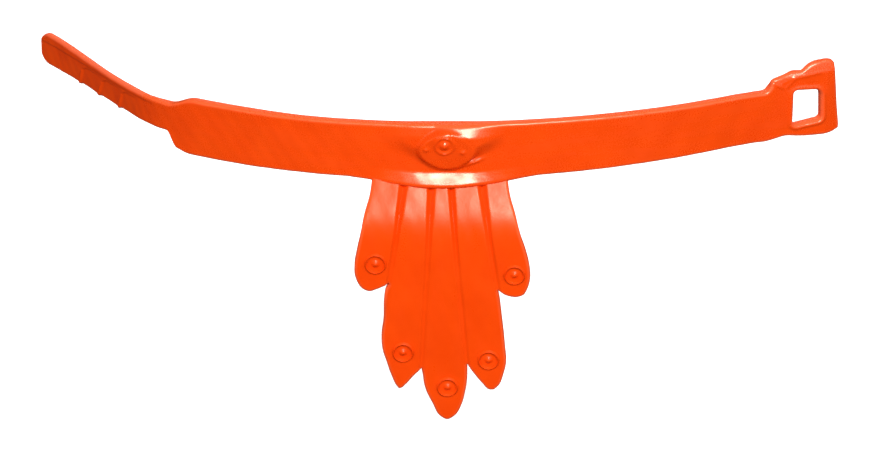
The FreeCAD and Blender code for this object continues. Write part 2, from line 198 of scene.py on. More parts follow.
def end_corner(s, radius):
    """How far the tongue's outline draws in near its tip."""
    inward = np.clip(radius - (s - START), 0, radius)
    return radius - np.sqrt(radius ** 2 - inward ** 2)


def strap_top(s):
    """Upper edge of the strap and tongue; the buckle's ear has its own line."""
    s = np.asarray(s, float)
    tongue = TONGUE_HIGH - TONGUE_SINK + TONGUE_FLARE * smooth(SHOULDER - 12, SHOULDER - 28, s)
    level = tongue + (STRAP_HIGH + 0.1 - tongue) * smooth(*SHOULDER_TOP, s)
    level = level - 0.15 * smooth(SHOULDER + 8, SHOULDER + 22, s) - 0.1 * smooth(20, BUCKLE, s)
    return level - end_corner(s, TIP_HIGH_ROUND)


def strap_bottom(s):
    """Lower edge of the strap and tongue, bowed down over the skirt."""
    s = np.asarray(s, float)
    step = STEEP_SHARE * smooth(*SHOULDER_STEEP, s) + GENTLE_SHARE * smooth(*SHOULDER_GENTLE, s)
    level = TONGUE_LOW + (STRAP_LOW - TONGUE_LOW) * step
    level = level + (RIGHT_LOW - 0.08 - STRAP_LOW) * smooth(0, BUCKLE, s) ** 0.8
    level = level - BOW * np.clip(1 - (s / BOW_HALF) ** 2, 0, 1) ** 1.2
    for ridge in RIDGES:
        foot = s - ridge + RIDGE_SLANT * 1.5
        tooth = np.clip((foot + TOOTH_RISE) / TOOTH_RISE, 0, 1) * np.clip(1 - foot / TOOTH_FALL, 0, 1)
        level = level + 0.5 * (FOOT_LOW - TONGUE_LOW) * tooth
    return level + end_corner(s, TIP_LOW_ROUND)


def strap_back(s, z):
    """The back surface: the tongue is thinner than the strap."""
    thin = TONGUE_THINNER * (1 - smooth(SHOULDER - 4, SHOULDER + 2, s))
    return -HALF + thin - 0.6 * waviness(s + 9, z)


# ---------------------------------------------------------------- relief of the strap

MEDAL_HIGH = box_mm("medallion")[1]
MEDAL_S, MEDAL_Z = 0.5, 0.45
MEDAL_WIDE = MEDAL_HIGH[0] - 0.6
MEDAL_TALL = MEDAL_HIGH[2] - MEDAL_Z - 0.2
MEDAL_POWER = 1.7     # its outline: 1 would be a diamond, 2 an oval
MEDAL_RISE = 1.1
MEDAL_LEAN = 0.4      # its top stands out this much further than its middle
SWELL_RIGHT, SWELL_LEFT = 1.55, 0.6
SWELL_END = 9         # the swellings die out this far along the strap
SWELL_FACET = 2.4     # level where their upper facet starts
SWELL_FLOOR = -2.6    # level where they start, rising away from the medallion
SWELL_SLANT = 0.36
STUD_LOW, STUD_HIGH = box_mm("medallion_stud")
BOSS_S, BOSS_Z = 0.2, (STUD_LOW[2] + STUD_HIGH[2]) / 2 + 0.15
STUD_ROUND, RING_ROUND = 0.8, 1.2
PIPS = ((-2.2, 0.8), (2.6, 0.4))
PIP_ROUND = 0.45
LIP_TOP = -2.95
LIP_HALF = 10.5
LIP_SLOPE = 0.74
LIP_ROLL = 0.55       # height of the rolled edge
CELL = 3.9            # length of a ratchet cell
CELL_DEPTH = 0.16
CELL_BORDER = 0.95    # height of the plain border above the cells
EAR_LEAN, STEP_DEPTH, END_DEPTH = 0.5, 0.3, 0.35
# Creases, as height, start, end and half width; the buckle's are counted from its joint.
MEDAL_FOLD = (0.34, (0.4, -2.75), (5.9, -0.75), 0.42)
CREASES = ((0.12, (1.9, 5.3), (4.2, 3.9), 0.24),
           (0.1, (4.0, 3.8), (5.6, 5.7), 0.24),
           (0.1, (4.6, 5.3), (9.6, 5.9), 0.3))


def waviness(a, b):
    """The slight unevenness of a soft moulding."""
    return (0.022 * np.sin(0.53 * a + 0.8 * b) + 0.016 * np.sin(1.31 * a - 0.62 * b + 1.7)
            + 0.008 * np.sin(2.9 * a + 2.1 * b + 0.4))


def fold(s, z, start, end, width):
    """A soft ridge of height 1 along a straight line, dying out at its ends."""
    start, end = np.array(start), np.array(end)
    length = np.linalg.norm(end - start)
    way = (end - start) / length
    along = (s - start[0]) * way[0] + (z - start[1]) * way[1]
    aside = (s - start[0]) * way[1] - (z - start[1]) * way[0]
    ends = smooth(0, 0.3 * length, along) * (1 - smooth(0.7 * length, length, along))
    return bump(aside, width) * ends


def wing(s, z, tall):
    """A swelling beside the medallion: a facet up to the strap's upper edge, a slope below."""
    along = 1 - smooth(2.5, SWELL_END, s)
    facet = 1 - 0.72 * np.clip((z - SWELL_FACET) / 1.6, 0, 1)
    below = smooth(0, 2.4, z - SWELL_FLOOR - SWELL_SLANT * s)
    return tall * along * smooth(-2.5, 1, s) * facet * below


def medallion(s, z):
    """A lozenge-shaped boss with a middle stud and two small pips, between two swellings."""
    x, y = np.abs(s - MEDAL_S) / MEDAL_WIDE, np.abs(z - MEDAL_Z) / MEDAL_TALL
    away = (x ** MEDAL_POWER + y ** MEDAL_POWER) ** (1 / MEDAL_POWER)
    height = MEDAL_RISE + MEDAL_LEAN * np.clip((z - MEDAL_Z) / MEDAL_TALL, -1, 1)
    boss = 1 - smooth(0.96, 1.14, away)
    swelling = np.maximum(wing(s, z, SWELL_RIGHT), wing(-s, z, SWELL_LEFT))
    raised = height * boss + swelling * (1 - boss)
    face = 0.12 * (1 - smooth(0.95, 1.02, away))
    middle = np.hypot(s - BOSS_S, z - BOSS_Z)
    stud = 0.5 * bump(middle, STUD_ROUND) + 0.2 * bump(middle - RING_ROUND, 0.28)
    pips = sum(0.26 * bump(np.hypot(s - along, z - up), PIP_ROUND) for along, up in PIPS)
    return raised + face + stud + pips


def lip(s, z):
    """The strap's lower edge flares out into a shelf over the skirt and rolls under."""
    fade = np.clip(1 - (np.abs(s - 0.3) / LIP_HALF) ** 2, 0, 1) ** 1.3
    top, low = LIP_TOP + 0.5 * (1 - fade), strap_bottom(s)
    facet = LIP_SLOPE * np.clip(top - z, 0, top - low - LIP_ROLL)
    roll = np.clip(1 - (z - low) / LIP_ROLL, 0, 1) ** 2
    return fade * (facet - 0.35 * roll)


def tongue_cells(s, z):
    """Ratchet cells: deepest beside each ridge, rising to the next one."""
    cut = np.zeros(np.broadcast(s, z).shape)
    for ridge in RIDGES:
        from_ridge = s - ridge - RIDGE_SLANT * z
        along = from_ridge / CELL
        ceiling = TONGUE_HIGH - 1.35 - 0.7 * np.clip(1 - along / 0.25, 0, 1) ** 2
        below = smooth(-0.1, 0.14, ceiling - z)
        rise = smooth(0, 0.07, along) * np.clip(1 - along, 0, 1) ** 0.7
        cut = cut - CELL_DEPTH * rise * below + 0.07 * bump(from_ridge + 0.1, 0.3) * below
    border = TONGUE_HIGH - CELL_BORDER
    along_tongue = smooth(SHOULDER - 1, SHOULDER - 4, s)
    return cut - 0.1 * along_tongue * (1 - smooth(-0.12, 0.12, z - border))


def buckle_folds(s, z):
    """The ear leans back above a crease, and creases run down to the window."""
    local = s - BUCKLE
    crease = 5.4 + 0.1 * (local - 5.2)
    lean = EAR_LEAN * np.clip((z - crease) / 1.4, 0, 1.3) * smooth(3.0, 5.0, local)
    step = STEP_DEPTH * np.clip((z - 4.2 - 0.42 * (local - 2.2)) / 1.2, 0, 1) * smooth(1.9, 2.6, local)
    end = END_DEPTH * np.clip((local - 9.9) / 1.8, 0, 1) ** 1.3
    ridges = sum(height * fold(local, z, start, stop, width) for height, start, stop, width in CREASES)
    return ridges - lean - step - end


def strap_relief(s, z):
    """Height of the strap's front face over its plain surface."""
    relief = waviness(s, z) + medallion(s, z) + lip(s, z) + tongue_cells(s, z)
    relief = relief + MEDAL_FOLD[0] * fold(s, z, *MEDAL_FOLD[1:])
    return relief + buckle_folds(s, z)


def edge_drop(distance):
    """How far a surface falls back at a distance from the moulding's edge."""
    inward = np.clip(ROUND - distance, 0, ROUND)
    return ROUND - np.sqrt(ROUND ** 2 - inward ** 2)


def painted_highlight_share(distance):
    """1 on a real edge, fading to 0 beside it: where the edges get a paler painted highlight."""
    return 1 - smooth(0.1, 0.5, distance)


EDGE_ROWS = ROUND * (1 - np.cos(np.linspace(0, math.pi / 2, EDGE_STEPS, endpoint=False)))


def rows_between(low, high):
    """Levels from the lower to the upper edge, close together on the rounded edges."""
    low, high = np.asarray(low, float)[..., None], np.asarray(high, float)[..., None]
    soft = np.minimum(1, (high - low) / (4 * ROUND))
    flat = np.linspace(0, 1, ROWS)
    body = low + ROUND * soft + (high - low - 2 * ROUND * soft) * flat
    return np.concatenate((low + EDGE_ROWS * soft, body, high - EDGE_ROWS[::-1] * soft), axis=-1)


# ---------------------------------------------------------------- meshes

def make_object(name, points, faces, painted_edge_highlight, material):
    """The fourth argument is 1 on the moulding's real edges and fades to 0 beside them; the material
    paints a paler colour there as a painted highlight.
    """
    mesh = bpy.data.meshes.new(name)
    mesh.from_pydata((np.asarray(points) * MM).tolist(), [], faces)
    highlight_mask = mesh.attributes.new("painted_edge_highlight", "FLOAT", "POINT")
    highlight_mask.data.foreach_set("value", np.asarray(painted_edge_highlight, np.float32).ravel())
    shape = bmesh.new()
    shape.from_mesh(mesh)
    bmesh.ops.remove_doubles(shape, verts=shape.verts, dist=1e-7)
    bmesh.ops.recalc_face_normals(shape, faces=shape.faces)
    shape.to_mesh(mesh)
    shape.free()
    mesh.shade_smooth()
    mesh.set_sharp_from_angle(angle=math.radians(52))
    mesh.materials.append(material)
    made = bpy.data.objects.new(name, mesh)
    bpy.context.scene.collection.objects.link(made)
    return made


def columns_between(start, end):
    """Stations of the mesh's columns, close together at a free end."""
    count = max(4, int(round((end - start) / COLUMN)))
    places = np.linspace(start, end, count + 1)
    if start == START:
        turn = TIP_HIGH_ROUND * (1 - np.cos(np.linspace(0, math.pi / 2, TIP_STEPS)))
        places = np.concatenate((START + turn, places[places > START + turn[-1] + COLUMN / 2]))
    return places


def strap_section(name, start, end, material):
    """A closed length of the strap between two stations."""
    s = columns_between(start, end)
    low, high = strap_bottom(s), strap_top(s)
    z = rows_between(low, high)
    along = s[:, None]
    distance = np.minimum(np.minimum(z - low[:, None], high[:, None] - z), along - START)
    front = HALF + strap_relief(along, z) - edge_drop(distance)
    back = strap_back(along, z) + edge_drop(distance)
    share = np.linspace(0, 1, WALL_STEPS + 2)[1:-1]
    top_wall = front[:, -1:] + (back[:, -1:] - front[:, -1:]) * share
    low_wall = back[:, :1] + (front[:, :1] - back[:, :1]) * share
    out = np.concatenate((front, top_wall, back[:, ::-1], low_wall), axis=1)
    level = np.concatenate((z, np.repeat(z[:, -1:], WALL_STEPS, 1), z[:, ::-1],
                            np.repeat(z[:, :1], WALL_STEPS, 1)), axis=1)
    points = on_strap(np.broadcast_to(along, out.shape), level, out)
    count, ring = out.shape
    faces = []
    for column in range(count - 1):
        for row in range(ring):
            after = (row + 1) % ring
            a, b = column * ring, (column + 1) * ring
            faces.append((a + row, a + after, b + after, b + row))
    faces.append(tuple(range(ring))[::-1])
    faces.append(tuple(range((count - 1) * ring, count * ring)))
    # The edges, and the walls of the top and bottom edges in full, get the paler painted highlight.
    level_highlight = painted_highlight_share(distance)
    painted_edge_highlight = np.concatenate((level_highlight, np.ones(top_wall.shape), level_highlight[:, ::-1],
                           np.ones(low_wall.shape)), axis=1)
    return make_object(name, points.reshape(-1, 3), faces, painted_edge_highlight, material)


def spaced(corners, gap):
    """Points along a line of corners, no further apart than gap."""
    places = [np.asarray(corners[0], float)]
    for here, there in zip(corners[:-1], corners[1:]):
        here, there = np.asarray(here, float), np.asarray(there, float)
        count = max(1, int(math.ceil(np.linalg.norm(there - here) / gap)))
        places += [here + (there - here) * number / count for number in range(1, count + 1)]
    return np.array(places)


def distance_to(lines, points):
    """Shortest distance from each point to any of the lines."""
    best = np.full(len(points), 1e9)
    for line in lines:
        for a, b in zip(line[:-1], line[1:]):
            way = b - a
            share = np.clip(((points - a) @ way) / max(way @ way, 1e-12), 0, 1)
            best = np.minimum(best, np.linalg.norm(points - a - share[:, None] * way, axis=1))
    return best


def inside(loop, points):
    """Which points lie within a closed loop."""
    a, b = loop, np.roll(loop, -1, axis=0)
    crossings = np.zeros(len(points), int)
    for (ax, ay), (bx, by) in zip(a, b):
        if ay == by:
            continue
        span = (points[:, 1] > min(ay, by)) & (points[:, 1] <= max(ay, by))
        crossings += span & (points[:, 0] < ax + (points[:, 1] - ay) * (bx - ax) / (by - ay))
    return crossings % 2 == 1


def loop_edges(first, count):
    """Links from each point of a closed loop to the next."""
    return [(first + number, first + (number + 1) % count) for number in range(count)]


def within(rings, points):
    """Which points lie within the outline, which is the first ring, and outside its holes."""
    keep = inside(rings[0], points)
    for hole in rings[1:]:
        keep &= ~inside(hole, points)
    return keep


def edge_offsets(rings, real):
    """Points beside the real edges, at each step of their rounding."""
    offsets = []
    for ring in rings:
        way = np.roll(ring, -1, axis=0) - np.roll(ring, 1, axis=0)
        normal = np.stack((-way[:, 1], way[:, 0]), axis=1)
        normal /= np.linalg.norm(normal, axis=1, keepdims=True)
        for step in list(EDGE_ROWS[1:]) + [ROUND, ROUND + FINE * 0.6]:
            for side in (1, -1):
                moved = ring + side * step * normal
                good = np.abs(distance_to(real, moved) - step) < 0.01
                offsets.append(moved[good])
    return offsets


def inner_grid(loop, real, details):
    """A staggered grid over the outline, clear of its real edges and of the details."""
    low, high = loop.min(0), loop.max(0)
    across = np.arange(low[0], high[0], FINE)
    up = np.arange(low[1], high[1], FINE * 0.9)
    grid = np.stack(np.meshgrid(across, up), axis=-1)
    grid[1::2, :, 0] += FINE / 2
    grid = grid.reshape(-1, 2)
    grid = grid[distance_to(real, grid) > ROUND + FINE]
    if details:
        grid = grid[distance_to(details, grid) > FINE * 0.6]
    return grid


def triangulate(rings, spare):
    """Points and triangles over the outline, through its rings and the spare points."""
    spots = np.concatenate(rings + [spare])
    links, first = [], 0
    for ring in rings:
        links += loop_edges(first, len(ring))
        first += len(ring)
    mesh = delaunay_2d_cdt([Vector(spot) for spot in spots], links, [], 1, 1e-5)
    flat = np.array([(v.x, v.y) for v in mesh[0]])
    triangles = [tuple(face) for face in mesh[2]]
    centres = np.array([flat[list(face)].mean(0) for face in triangles])
    keep = within(rings, centres)
    return flat, [face for face, good in zip(triangles, keep) if good]


def plate(name, edges, cuts, relief, back, place, material, holes=(), details=()):
    """A closed plate over an outline made of real edges and cut lines, given in order.
    edges and cuts are lists of (order, points); relief and back give both surfaces."""
    pieces = [line for _, line in sorted(edges + cuts, key=lambda item: item[0])]
    loop = np.concatenate([line[:-1] for line in pieces])
    real = [line for _, line in edges] + [np.vstack((hole, hole[:1])) for hole in holes]
    rings = [loop] + list(holes)
    offsets, grid = edge_offsets(rings, real), inner_grid(loop, real, details)
    spare = np.concatenate(offsets + list(details) + [grid])
    spare = spare[within(rings, spare)]
    spare = spare[distance_to([line for _, line in cuts], spare) > FINE * 0.45]
    flat, triangles = triangulate(rings, spare)
    distance = distance_to(real, flat)
    # The edges get a paler painted highlight, fading inward.
    fall, painted_edge_highlight = edge_drop(distance), painted_highlight_share(distance)
    points = np.concatenate((place(flat, relief(flat) - fall), place(flat, back(flat) + fall)))
    count = len(flat)
    faces = triangles + [tuple(count + v for v in face[::-1]) for face in triangles]
    sides = dict.fromkeys(side for face in triangles for side in zip(face, face[1:] + face[:1]))
    border = [(a, b) for a, b in sides if (b, a) not in sides]
    faces += [(b, a, count + a, count + b) for a, b in border]
    return make_object(name, points, faces, np.concatenate((painted_edge_highlight, painted_edge_highlight)), material)


# ---------------------------------------------------------------- pieces of the strap

CENTRE_HALF = 5.0     # half length of the unbent middle piece


def middle_of(joint, way):
    """Station half way along the strap piece on one side of a joint."""
    number = int(np.argmin(np.abs(STATIONS - station(joint))))
    return MIDDLES[number] if way > 0 else MIDDLES[number - 1]


def bend(piece):
    """Bakes a strap piece's transform into its mesh; it is not bent here."""
    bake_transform(piece)


def strap_piece(name, start, end, nodes, material):
    """A length of strap across one joint that stands for the given nodes."""
    piece = strap_section(name, start, end, material)
    bend(piece)
    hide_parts(*nodes)
    return piece


# ---------------------------------------------------------------- buckle

WINDOW = ((5.35, -1.6), (9.3, -1.1), (9.05, 3.2), (5.3, 3.5))
WINDOW_ROUNDS = (0.4, 0.5, 0.95, 0.5)
END_TOP = 11.0        # the end slants from here, at the top, out to its foot
FOOT_RISE = ((1.7, -0.13), (3.3, 0.1), (4.4, 0.28), (6.0, 0.05), (8.8, -0.13), (10.5, -0.1))
FOOT_TURN = ((-0.4, 0.19), (0.05, 0.47), (0.1, 0.95))   # from the buckle's end
EAR_THINNER = 0.45
# The ear's upper line: place along the buckle, and height as a share of the ear's rise.
EAR = ((1.8, 0.02), (2.05, 0.12), (2.35, 0.38), (3.3, 0.5), (4.2, 0.58), (5.15, 0.67), (5.7, 0.67),
       (6.2, 0.67), (6.8, 0.78), (7.4, 0.89), (8.1, 0.96), (9.1, 1.0), (10.0, 1.01), (10.65, 0.94),
       (END_TOP, 0.82))


def rounded(corners, radii, steps=7):
    """A closed loop with every corner rounded."""
    corners = np.asarray(corners, float)
    befores, afters = np.roll(corners, 1, 0), np.roll(corners, -1, 0)
    loop = []
    for before, here, after, radius in zip(befores, corners, afters, radii):
        back = (before - here) / np.linalg.norm(before - here)
        on = (after - here) / np.linalg.norm(after - here)
        half = math.acos(np.clip(back @ on, -1, 1)) / 2
        trim = radius / math.tan(half)
        middle = here + (back + on) / np.linalg.norm(back + on) * radius / math.sin(half)
        first, last = here + back * trim - middle, here + on * trim - middle
        for share in np.linspace(0, 1, steps):
            arm = first * (1 - share) + last * share
            loop.append(middle + arm * radius / np.linalg.norm(arm))
    return np.array(loop)


def window_loop():
    """The window's edge, closely spaced."""
    loop = rounded([(BUCKLE + s, z) for s, z in WINDOW], WINDOW_ROUNDS)
    return spaced(np.vstack((loop, loop[:1])), FINE)[:-1]


def buckle_edges(start):
    """The buckle's bottom, end and ear, and the cut that joins it to the strap."""
    low, high = float(strap_bottom(start)), float(strap_top(start))
    foot = [(BUCKLE + s, RIGHT_LOW + rise) for s, rise in FOOT_RISE]
    turn = [(END + s, RIGHT_LOW + rise) for s, rise in FOOT_TURN]
    ear = [(BUCKLE + s, STRAP_HIGH + (EAR_HIGH - STRAP_HIGH) * share) for s, share in EAR]
    near = [(s, float(strap_bottom(s))) for s in (start, start + 2.5, BUCKLE)]
    far = [(s, float(strap_top(s))) for s in (BUCKLE, start + 2.5, start)]
    bottom = curve(near + foot + turn)
    end = spaced((bottom[-1], ear[-1]), FINE)
    top = curve(ear[::-1] + far)
    rows = rows_between(low, high)
    cut = np.stack((np.full(len(rows), start), rows), axis=1)[::-1]
    return [(0, np.vstack((bottom, end[1:], top[1:])))], [(1, cut)]


def buckle_relief(flat):
    """The buckle's front face, with a raised rim round its window."""
    s, z = flat[:, 0], flat[:, 1]
    rim = distance_to([np.vstack((WINDOW_LOOP, WINDOW_LOOP[:1]))], flat)
    return HALF + strap_relief(s, z) + 0.16 * bump(rim - 0.42, 0.42)


def buckle_back(flat):
    """The buckle's back face; the ear is thinner than the frame."""
    s, z = flat[:, 0], flat[:, 1]
    return strap_back(s, z) + EAR_THINNER * smooth(4.2, 5.2, z)


def on_buckle(flat, out):
    """Places of buckle points, along the strap's own curve."""
    return on_strap(flat[:, 0], flat[:, 1], out)


WINDOW_LOOP = window_loop()


# ---------------------------------------------------------------- skirt

SKIRT_HALF = 0.65     # half its thickness
LEAN = math.tan(math.radians(35))
BEND_Z = -9.84        # the skirt leans out above this level and hangs straight below it
BEND_SOFT = 0.9
HANG_Y = joint_mm("centre_tip_flex")[1]
SKIRT_TOP = -3.6
GROOVE_TOP = SKIRT_TOP - 1.9
FLAP_CUT = -10.5      # level of the cut between the skirt's root and its strips
SKIRT_FOLLOWS = (-9.5, -4.0)   # between these levels it takes up the strap's curve
GROOVE_FADE = (-17, -7)        # its grooves get deeper from here up to here
GROOVE_DEPTH, GROOVE_DEEPER = 0.15, 0.4
STUD_RING, STUD_DOME = 1.28, 0.62
GROOVE_ROWS = (-1.5, -1.2, -1.0, -0.8, -0.55, -0.3, -0.12, 0, 0.12, 0.3, 0.55, 0.8, 1.0, 1.2, 1.5)
STUD_RINGS = (0.15, 0.3, 0.45, 0.6, 0.75, 0.95, 1.08, 1.18, 1.28, 1.38, 1.5, 1.66)

# Front outline, down each side of each strip to the notch or tip at its foot.
NOTCHES = ((-7.29, -17.7), (-2.95, -30.54), (3.22, -29.93), (7.3, -18.74))
OUTER_LEFT = ((-9.3, -3.6), (-9.72, -6.15), (-10.38, -8.05), (-10.92, -10.45), (-11.48, -13.05),
              (-11.76, -14.85), (-11.65, -16.65), (-10.61, -18.45), (-9.82, -18.74),
              (-8.89, -18.45), NOTCHES[0])
INNER_LEFT = (NOTCHES[0], (-7.66, -18.5), (-7.85, -19.6), (-7.99, -22.95), (-8.28, -25.65),
              (-8.16, -27.45), (-7.64, -29.35), (-6.95, -31.6), (-6.3, -33.1), (-5.95, -33.5),
              (-5.65, -33.42), (-5.1, -32.9), (-3.76, -31.3), NOTCHES[1])
CENTRE_TIP = (NOTCHES[1], (-2.8, -31.3), (-2.56, -33.0), (-2.29, -33.95), (-1.48, -35.75),
              (-0.45, -37.75), (0.5, -38.3), (1.45, -37.8), (2.56, -35.75), (2.96, -33.95),
              (3.12, -33.0), (3.24, -31.15), NOTCHES[2])
INNER_RIGHT = (NOTCHES[2], (4.16, -31.3), (5.3, -32.8), (6.1, -33.65), (6.75, -33.7), (7.35, -33.2),
               (8.1, -31.3), (8.45, -29.35), (8.3, -27.45), (8.15, -25.65), (7.86, -22.95),
               (7.5, -19.9), NOTCHES[3])
OUTER_RIGHT = (NOTCHES[3], (8.36, -19.4), (9.69, -19.64), (10.62, -19.35), (11.2, -18.3),
               (11.52, -16.65), (11.36, -14.85), (10.95, -13.05), (10.13, -10.45),
               (9.46, -8.05), (8.82, -6.15), (8.4, -3.6))
# Middle of each groove at the skirt's top, and its half width there.
GROOVES = ((-5.35, 0.5), (-1.6, 0.47), (1.05, 0.4), (5.15, 0.5))
GROOVE_END = 0.34
STUDS = ((-8.98, -14.55), (-5.4, -27.85), (0.55, -33.15), (6.05, -29.0), (9.4, -16.2))


def curve(corners, gap=FINE):
    """A smooth line through its corners."""
    corners = np.asarray(corners, float)
    steps = np.linalg.norm(np.diff(corners, axis=0), axis=1)
    slopes = np.diff(corners, axis=0) / steps[:, None]
    tangents = np.vstack((slopes[:1], slopes[1:], slopes[-1:]))
    mixed = slopes[:-1] * steps[1:, None] + slopes[1:] * steps[:-1, None]
    tangents[1:-1] = mixed / (steps[1:] + steps[:-1])[:, None]
    line = [corners[0]]
    for number, step in enumerate(steps):
        count = max(1, int(math.ceil(step / gap)))
        for share in np.arange(1, count + 1) / count:
            a, b = 2 * share ** 3 - 3 * share ** 2 + 1, share ** 3 - 2 * share ** 2 + share
            c, d = 3 * share ** 2 - 2 * share ** 3, share ** 3 - share ** 2
            line.append(a * corners[number] + b * step * tangents[number]
                        + c * corners[number + 1] + d * step * tangents[number + 1])
    return np.array(line)


def split(line, z):
    """Cuts a line in two where it crosses a level."""
    number = int(np.argmax((line[:-1, 1] - z) * (line[1:, 1] - z) <= 0))
    a, b = line[number], line[number + 1]
    place = a + (b - a) * (z - a[1]) / (b[1] - a[1])
    return np.vstack((line[:number + 1], place)), np.vstack((place, line[number + 1:]))


def groove_at(number, z):
    """Middle and half width of a groove at a level."""
    top, wide = GROOVES[number]
    foot = NOTCHES[number]
    share = (GROOVE_TOP - z) / (GROOVE_TOP - foot[1])
    return top + (foot[0] - top) * share, wide + (GROOVE_END - wide) * np.clip(share, 0, 1) ** 0.6


def groove_line(number, high, offset=0.0):
    """A line down a groove from a level to its foot; offset counts in half widths."""
    foot = NOTCHES[number][1]
    z = np.linspace(high, foot, max(2, int((high - foot) / FINE)))
    middle, wide = groove_at(number, z)
    return np.stack((middle + offset * wide, z), axis=1)


def skirt_cut(z, start, end, real_start, real_end):
    """A level cut across the skirt, with points where grooves and edges need them."""
    places = list(np.arange(start, end, FINE))
    for number in range(len(GROOVES)):
        middle, wide = groove_at(number, z)
        places += [middle + wide * offset for offset in GROOVE_ROWS]
    if real_start:
        places += list(start + EDGE_ROWS) + [start + ROUND]
    if real_end:
        places += list(end - EDGE_ROWS) + [end - ROUND]
    places = sorted(place for place in places if start + 0.03 < place < end - 0.03)
    kept = [start]
    for place in places:
        if place - kept[-1] > 0.035:
            kept.append(place)
    kept.append(end)
    return np.array([(place, z) for place in kept])


def slanting_cut(a, b):
    """The cut between the two notches beside the centre strip."""
    a, b = np.asarray(a, float), np.asarray(b, float)
    length = np.linalg.norm(b - a)
    inner = np.linspace(ROUND, length - ROUND, int(length / FINE))
    along = np.concatenate((EDGE_ROWS, inner, length - EDGE_ROWS[::-1]))
    return a + (b - a) * along[:, None] / length


def skirt_fall(flat):
    """Depth of the grooves between the strips, and a fine crease along each."""
    x, z = flat[:, 0], flat[:, 1]
    fall = np.zeros(len(flat))
    for number in range(len(GROOVES)):
        middle, wide = groove_at(number, z)
        away = np.abs(x - middle)
        fall = np.maximum(fall, bump(away, 1.3 * wide) + 0.12 * bump(away, 0.14))
    return fall * (GROOVE_DEPTH + GROOVE_DEEPER * smooth(*GROOVE_FADE, z))


def stud_relief(flat):
    """Round studs, each with a raised ring and a dome."""
    rise = np.zeros(len(flat))
    for x, z in STUDS:
        away = np.hypot(flat[:, 0] - x, flat[:, 1] - z)
        rise += 0.3 * bump(away - STUD_RING, 0.22) + 0.42 * bump(away, STUD_DOME)
        rise -= 0.07 * (1 - smooth(1.0, 1.3, away))
    return rise


def skirt_front(flat):
    """The skirt's front face: grooves, studs and the moulding's unevenness."""
    x, z = flat[:, 0], flat[:, 1]
    return SKIRT_HALF - skirt_fall(flat) + stud_relief(flat) + 0.9 * waviness(x, 0.7 * z + 4)


def skirt_back(flat):
    """The skirt's back face, with shallower grooves."""
    return -SKIRT_HALF + 0.4 * skirt_fall(flat) - 0.7 * waviness(flat[:, 0] + 3, flat[:, 1])


def on_skirt(flat, out):
    """Places of skirt points: it leans out from the strap, then hangs straight."""
    x, z = flat[:, 0], flat[:, 1]
    rise = (z - BEND_Z) / BEND_SOFT
    soft = BEND_SOFT * np.logaddexp(0, rise)
    lean = np.arctan(LEAN / (1 + np.exp(-rise)))
    strap, _ = middle_line(x)
    follow = (strap[:, 1] + HALF) * smooth(*SKIRT_FOLLOWS, z)
    y = HANG_Y + LEAN * soft + follow
    return np.stack((x, y - np.cos(lean) * out, z + np.sin(lean) * out), axis=1)


def circle(centre, radius):
    """Points round a circle, the first one repeated at the end."""
    count = max(10, int(2 * math.pi * radius / 0.13))
    turn = np.linspace(0, 2 * math.pi, count + 1)
    return np.stack((centre[0] + radius * np.cos(turn), centre[1] + radius * np.sin(turn)), axis=1)


def skirt_details(grooves, high, studs):
    """Lines that the skirt's mesh follows: along the grooves and round the studs."""
    lines = [groove_line(number, high, offset) for number in grooves for offset in GROOVE_ROWS]
    return lines + [circle(STUDS[number], radius) for number in studs for radius in STUD_RINGS]


def skirt_outlines():
    """Edges and cuts of the five skirt pieces."""
    left_high, left_low = split(curve(OUTER_LEFT), FLAP_CUT)
    right_low, right_high = split(curve(OUTER_RIGHT), FLAP_CUT)
    left_groove, right_groove = groove_line(0, FLAP_CUT), groove_line(3, FLAP_CUT)
    a, b = left_groove[0][0], right_groove[0][0]
    left_cut = skirt_cut(FLAP_CUT, left_high[-1][0], a, True, False)
    middle_cut = skirt_cut(FLAP_CUT, a, b, False, False)
    right_cut = skirt_cut(FLAP_CUT, b, right_high[0][0], False, True)
    top = spaced((right_high[-1], left_high[0]), FINE)
    tip_cut = slanting_cut(NOTCHES[1], NOTCHES[2])
    left_strip, right_strip = curve(INNER_LEFT), curve(INNER_RIGHT)
    whole_cut = np.vstack((left_cut, middle_cut[1:], right_cut[1:]))
    return {
        "root": ([(0, left_high), (2, right_high), (3, top)], [(1, whole_cut)]),
        "strips": ([(1, left_strip), (3, right_strip)],
                   [(0, left_groove), (2, tip_cut), (4, right_groove[::-1]), (5, middle_cut[::-1])]),
        "tip": ([(0, curve(CENTRE_TIP))], [(1, tip_cut[::-1])]),
        "left": ([(0, left_low)], [(1, left_groove[::-1]), (2, left_cut[::-1])]),
        "right": ([(1, right_low)], [(0, right_groove), (2, right_cut[::-1])]),
    }


# ---------------------------------------------------------------- vinyl

STRAP_DEEP, STRAP_BRIGHT = (0.79, 0.054, 0.001, 1), (0.83, 0.062, 0.0015, 1)
STRAP_STREAKS = (0.3, 0.3, 1.6)
STRAP_ROUGHNESS, STRAP_SHINE = 0.27, 1.0
SHINE_TINT = (1, 0.9, 0.72, 1)
EDGE_HIGHLIGHT_SHARE = 0.45     # how much of the paler edge colour, a painted highlight, shows on an edge
# Sizes of the noises, as a count of features to the metre.
CLOUDS, FLOW, SPECKS, GRAIN = 260, 420, 5200, 9000
# Strength and depth in metres of the fine skin and of the flow marks.
FINE_SKIN = (0.35, 0.00002)
FLOW_MARKS = (0.5, 0.00007)
PAPER_GLOW = 0.42     # brightness of the paper to the camera
PAPER_UNSEEN = 0.03   # and to everything else, so that the belt doesn't mirror it


def shader(name):
    """A new material with its nodes and links."""
    made = bpy.data.materials.new(name)
    made.use_nodes = True
    return made, made.node_tree.nodes, made.node_tree.links


